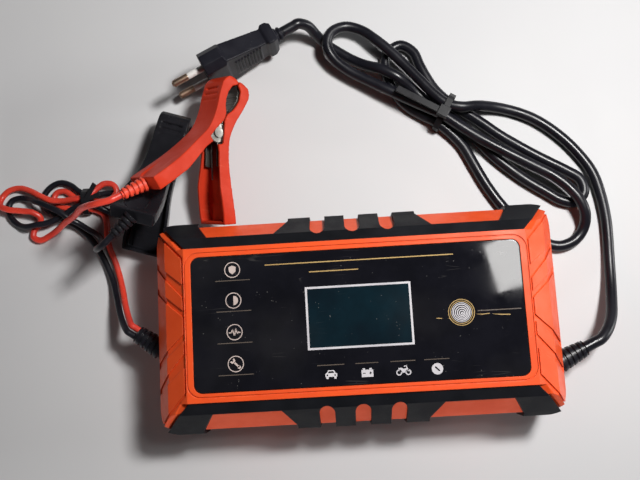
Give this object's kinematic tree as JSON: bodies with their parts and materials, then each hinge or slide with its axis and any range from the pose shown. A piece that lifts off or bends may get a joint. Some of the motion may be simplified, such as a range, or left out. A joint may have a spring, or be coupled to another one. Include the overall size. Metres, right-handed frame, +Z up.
{
  "type": "car battery charger",
  "caption": "Compact mains charger for car batteries: bumpered plastic case with a glossy panel and display, tied mains cord with plug, and tied output leads ending in spring clamps.",
  "frame": {"origin": "centre of the charger case's footprint, on the surface that its feet stand on", "axes": "+X along the case toward the end that the mains cord leaves, +Y to the case's rear side, where the cords lie, +Z up through the panel"},
  "size_m": [0.344, 0.224, 0.0629],
  "materials": {
    "case_orange": "fine moulded grain, satin",
    "bumper_rubber": "fine matte grain",
    "panel_black": "polished, back printed",
    "display": "dark teal display behind the panel",
    "touch_film": "printed sensor film",
    "circuit_board": "solder mask",
    "ferrite": "pressed and ground",
    "winding_tape": "wound tape over enamelled wire",
    "capacitor_can": "sleeved can with a bare scored end",
    "heatsink_metal": "extruded",
    "moulded_black": "moulded",
    "fuse_glass": "clear tube with metal caps",
    "copper_winding": "enamelled wire on a ring",
    "terminal_green": "moulded",
    "screw_steel": "zinc plated",
    "foot_rubber": "matte",
    "cord_rubber": "smooth extruded sheath",
    "tie_black": "coated wire tie",
    "plug_black": "satin moulded",
    "pin_brass": "nickelled brass, worn",
    "sleeve_white": "moulded sleeve",
    "lead_red": "smooth extruded sheath",
    "clamp_red": "satin moulded",
    "clamp_black": "satin moulded",
    "jaw_chrome": "plated sheet",
    "spring_steel": "oiled spring wire",
    "relief_red": "ribbed, satin",
    "relief_black": "ribbed, satin"
  },
  "bodies": {
    "charger": {"upper_shell": "case_orange", "lower_shell": "case_orange", "front_bumper": "bumper_rubber", "rear_bumper": "bumper_rubber", "panel_glass": "panel_black", "lcd_module": "display", "touch_pad": "touch_film", "display_board": "circuit_board", "main_board": "circuit_board", "transformer_core": "ferrite", "transformer_coil": "winding_tape", "bulk_capacitor": "capacitor_can", "output_capacitors": "capacitor_can", "heatsink": "heatsink_metal", "power_transistors": "moulded_black", "fuse": "fuse_glass", "filter_choke": "copper_winding", "terminal_blocks": "terminal_green", "fan_frame": "moulded_black", "fan_screws": "screw_steel", "case_screws": "screw_steel", "board_screws": "screw_steel", "feet": "foot_rubber", "ac_gland": "cord_rubber", "dc_gland": "cord_rubber", "ac_cord": "cord_rubber", "cord_tie": "tie_black", "plug_body": "plug_black", "plug_pins": "pin_brass", "pin_sleeves": "sleeve_white", "red_lead": "lead_red", "black_lead": "cord_rubber", "lead_tie": "tie_black", "red_lead_handle": "clamp_red", "red_lead_jaw": "jaw_chrome", "red_rivet": "jaw_chrome", "red_spring": "spring_steel", "red_relief": "relief_red", "black_lead_handle": "clamp_black", "black_lead_jaw": "jaw_chrome", "black_rivet": "jaw_chrome", "black_spring": "spring_steel", "black_relief": "relief_black"},
    "red_free_half": {"red_free_handle": "clamp_red", "red_free_jaw": "jaw_chrome"},
    "black_free_half": {"black_free_handle": "clamp_black", "black_free_jaw": "jaw_chrome"},
    "fan_wheel": {"fan_rotor": "moulded_black"}
  },
  "joints": [
    {"name": "red_clamp_hinge", "type": "hinge", "parent": "charger", "child": "red_free_half", "pos_m": [-0.0719, 0.1028, 0.0299], "axis": [-0.7073, 0.1816, -0.6832], "range_deg": [0, 30], "stiffness_Nm_per_rad": 0.3, "springref_deg": -11.46, "deforming": ["red_spring"]},
    {"name": "black_clamp_hinge", "type": "hinge", "parent": "charger", "child": "black_free_half", "pos_m": [-0.1017, 0.089, 0.0181], "axis": [-0.9525, 0.2949, 0.0756], "range_deg": [0, 30], "stiffness_Nm_per_rad": 0.3, "springref_deg": -11.46, "deforming": ["black_spring"]},
    {"name": "fan_spin", "type": "hinge", "parent": "charger", "child": "fan_wheel", "pos_m": [0.0813, 0.002, 0.024], "axis": [1, 0, 0], "continuous": true}
  ]
}
